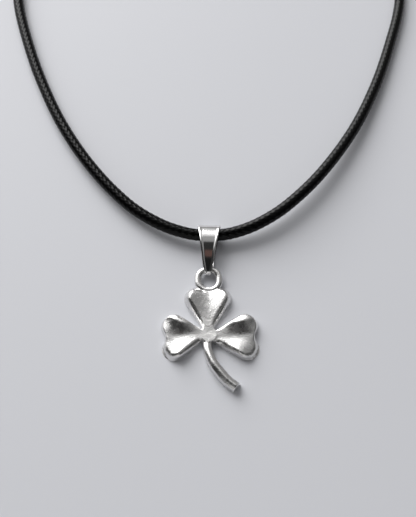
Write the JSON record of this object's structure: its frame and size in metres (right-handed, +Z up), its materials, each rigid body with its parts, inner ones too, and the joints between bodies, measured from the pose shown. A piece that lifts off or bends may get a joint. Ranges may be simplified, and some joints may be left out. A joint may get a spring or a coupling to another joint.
{
  "type": "shamrock pendant on a cord necklace",
  "caption": "Polished shamrock pendant with a curved stem, hung by a folded metal bail on a round waxed cord necklace that closes in a plain barrel clasp; laid flat in an open loop.",
  "frame": {"origin": "on the shamrock's flat back, where its three leaves meet", "axes": "+Y from the stem towards the hanging ring and the necklace, +Z up from the flat back to the front, +X to the right as seen from the front"},
  "size_m": [0.1012, 0.1984, 0.0042],
  "materials": {
    "cast_alloy": "bright polished cast white alloy, satin at the centre",
    "strip_metal": "bright plated strip",
    "waxed_cord": "closely braided, waxed, glossy black",
    "clasp_steel": "smooth turned steel"
  },
  "bodies": {
    "root": {"shamrock": "cast_alloy", "bail": "strip_metal", "cord": "waxed_cord", "clasp": "clasp_steel"}
  },
  "joints": []
}
